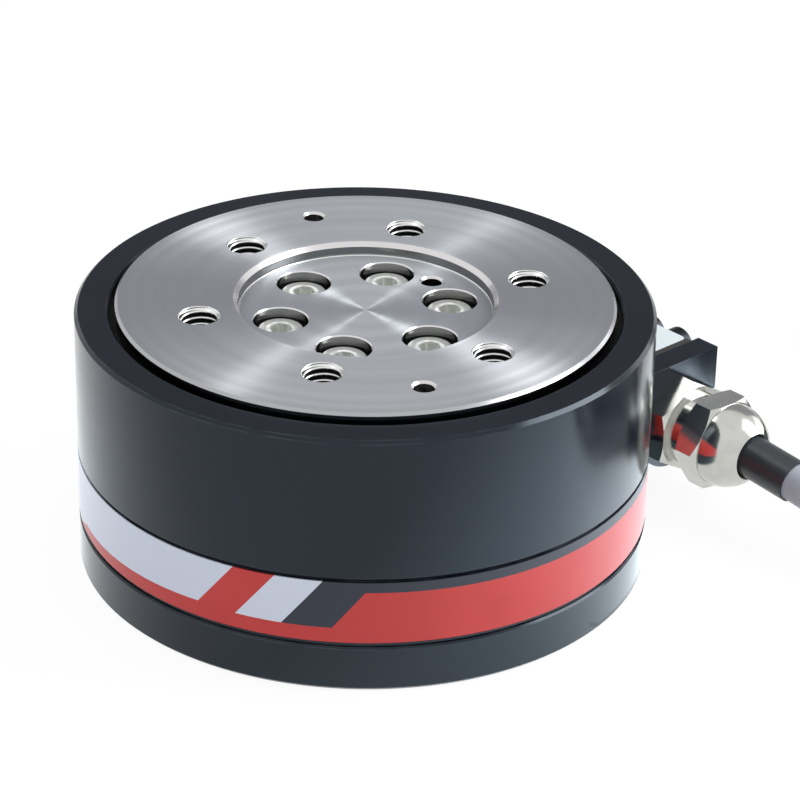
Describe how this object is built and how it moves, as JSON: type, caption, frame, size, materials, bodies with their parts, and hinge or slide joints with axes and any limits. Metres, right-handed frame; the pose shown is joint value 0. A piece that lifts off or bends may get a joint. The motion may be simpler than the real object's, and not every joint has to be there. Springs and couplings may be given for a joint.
{
  "type": "force torque sensor",
  "caption": "Round force torque sensor for a robot wrist, black housing with a bright steel tool plate, a wrap-round label and a cable gland on a side outlet block, its lead coiled beside it.",
  "frame": {"origin": "Centre of the robot face, on the sensor's axis, where the base flange stands on the robot.", "axes": "+Z is the sensor's axis, towards the tool. +X points through a threaded hole of the tool plate, and a tool dowel hole lies on +Y and on -Y."},
  "size_m": [0.2129, 0.1202, 0.0408],
  "materials": {
    "black_anodised": "black anodised, satin",
    "label_film": "printed film, red and greys",
    "turned_steel": "fine turned",
    "bare_aluminium": "machined, clear anodised",
    "nickel_plate": "bright nickel plate",
    "bright_fasteners": "zinc plated",
    "black_fasteners": "black oxide",
    "black_rubber": "moulded",
    "black_plastic": "moulded, fine grain",
    "pale_plastic": "moulded",
    "sleeve_plastic": "heat-shrink tube",
    "cable_jacket": "extruded jacket",
    "core_insulation": "extruded insulation",
    "circuit_board": "solder mask",
    "gauge_foil": "foil on film",
    "brass": "turned",
    "gold_plate": "gold plated"
  },
  "bodies": {
    "root": {"base_flange": "black_anodised", "housing": "black_anodised", "label": "label_film", "tool_plate": "turned_steel", "plate_seal": "black_rubber", "sensing_element": "bare_aluminium", "strain_gauges": "gauge_foil", "hub_screws": "bright_fasteners", "hub_dowel": "bright_fasteners", "element_screws": "black_fasteners", "housing_screws": "black_fasteners", "amplifier_board": "circuit_board", "board_chips": "black_plastic", "board_spacers": "brass", "board_screws": "bright_fasteners", "flange_o_ring": "black_rubber", "outlet_block": "bare_aluminium", "outlet_screws": "black_fasteners", "plate_gasket": "black_rubber", "gland_plate": "black_anodised", "gland_body": "nickel_plate", "gland_o_ring": "black_rubber", "gland_clamp": "pale_plastic", "gland_seal": "black_rubber", "gland_nut": "nickel_plate", "cable_sleeve": "sleeve_plastic", "inner_lead": "cable_jacket", "signal_cores": "core_insulation", "cable_lead": "cable_jacket", "cable_coil": "cable_jacket", "coil_tie": "sleeve_plastic", "cable_tail": "cable_jacket", "connector_body": "black_plastic", "connector_ring": "nickel_plate", "connector_insert": "black_plastic", "connector_pins": "gold_plate"}
  },
  "joints": []
}
